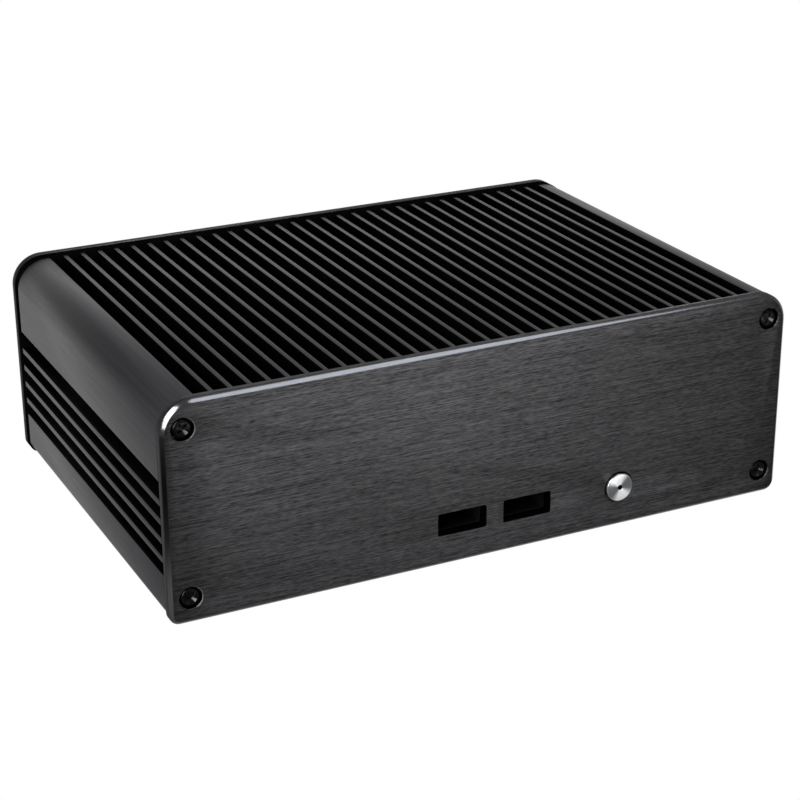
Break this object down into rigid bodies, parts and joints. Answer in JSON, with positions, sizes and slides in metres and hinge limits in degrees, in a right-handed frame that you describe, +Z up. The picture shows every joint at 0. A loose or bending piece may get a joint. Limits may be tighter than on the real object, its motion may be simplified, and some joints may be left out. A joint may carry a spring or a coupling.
{
  "type": "mini pc",
  "caption": "Fanless mini computer in a finned black aluminium case, with front sockets, a round metal power button and rear sockets.",
  "frame": {"origin": "centre of the bounding box at the surface that the feet stand on", "axes": "+X across the width, +Y from the front plate to the rear plate, +Z up"},
  "size_m": [0.176, 0.1238, 0.06],
  "materials": {
    "black_anodised_aluminium": "brushed and anodised black, satin",
    "black_frame_plastic": "moulded black frame, fine texture",
    "black_screw_steel": "black oxide, slightly oily sheen",
    "black_sheet_steel": "black powder coat",
    "foot_rubber": "matt moulded rubber",
    "turned_aluminium": "turned face, bright, concentric tool marks",
    "clear_acrylic": "clear moulded acrylic",
    "moulded_black_plastic": "moulded, fine texture",
    "board_laminate": "green solder mask on glass laminate",
    "silicon_package": "chip package with polished die",
    "thermal_silicone": "soft grey silicone",
    "milled_aluminium": "milled, clear",
    "brass": "turned brass",
    "plated_steel": "bright nickel plate"
  },
  "bodies": {
    "case": {"heatsink_shell": "black_anodised_aluminium", "front_plate": "black_anodised_aluminium", "rear_plate": "black_anodised_aluminium", "rear_frame": "black_frame_plastic", "front_screw_upper_left": "black_screw_steel", "front_screw_upper_right": "black_screw_steel", "front_screw_lower_left": "black_screw_steel", "front_screw_lower_right": "black_screw_steel", "rear_screw_upper_left": "black_screw_steel", "rear_screw_upper_right": "black_screw_steel", "rear_screw_lower_left": "black_screw_steel", "rear_screw_lower_right": "black_screw_steel", "base_screw_front_left": "black_screw_steel", "base_screw_front_right": "black_screw_steel", "base_screw_rear_left": "black_screw_steel", "base_screw_rear_right": "black_screw_steel", "base_plate": "black_sheet_steel", "foot_front_left": "foot_rubber", "foot_front_right": "foot_rubber", "foot_rear_left": "foot_rubber", "foot_rear_right": "foot_rubber", "switch_body": "moulded_black_plastic", "switch_holder": "moulded_black_plastic", "memory_socket": "moulded_black_plastic", "front_usb_tongue_left": "moulded_black_plastic", "front_usb_tongue_right": "moulded_black_plastic", "display_tongue_left": "moulded_black_plastic", "display_tongue_right": "moulded_black_plastic", "rear_usb_tongue_lower": "moulded_black_plastic", "rear_usb_tongue_upper": "moulded_black_plastic", "dc_jack": "moulded_black_plastic", "antenna_plug_left": "moulded_black_plastic", "antenna_plug_right": "moulded_black_plastic", "switch_board": "board_laminate", "mainboard": "board_laminate", "memory_module": "board_laminate", "ssd_module": "board_laminate", "processor": "silicon_package", "thermal_pad": "thermal_silicone", "heat_block": "milled_aluminium", "standoff_front_left": "brass", "standoff_front_right": "brass", "standoff_rear_left": "brass", "standoff_rear_right": "brass", "dc_pin": "brass", "board_screw_front_left": "plated_steel", "board_screw_front_right": "plated_steel", "board_screw_rear_left": "plated_steel", "board_screw_rear_right": "plated_steel", "coin_cell": "plated_steel", "front_usb_shell_left": "plated_steel", "front_usb_shell_right": "plated_steel", "display_shell_left": "plated_steel", "display_shell_right": "plated_steel", "network_socket": "plated_steel", "rear_usb_shell": "plated_steel"},
    "button": {"power_button": "turned_aluminium", "light_pipe": "clear_acrylic", "switch_plunger": "moulded_black_plastic"}
  },
  "joints": [
    {"name": "power_button_press", "type": "slide", "parent": "case", "child": "button", "axis": [0, 1, 0], "range_m": [0, 0.0006], "stiffness_N_per_m": 1500}
  ]
}
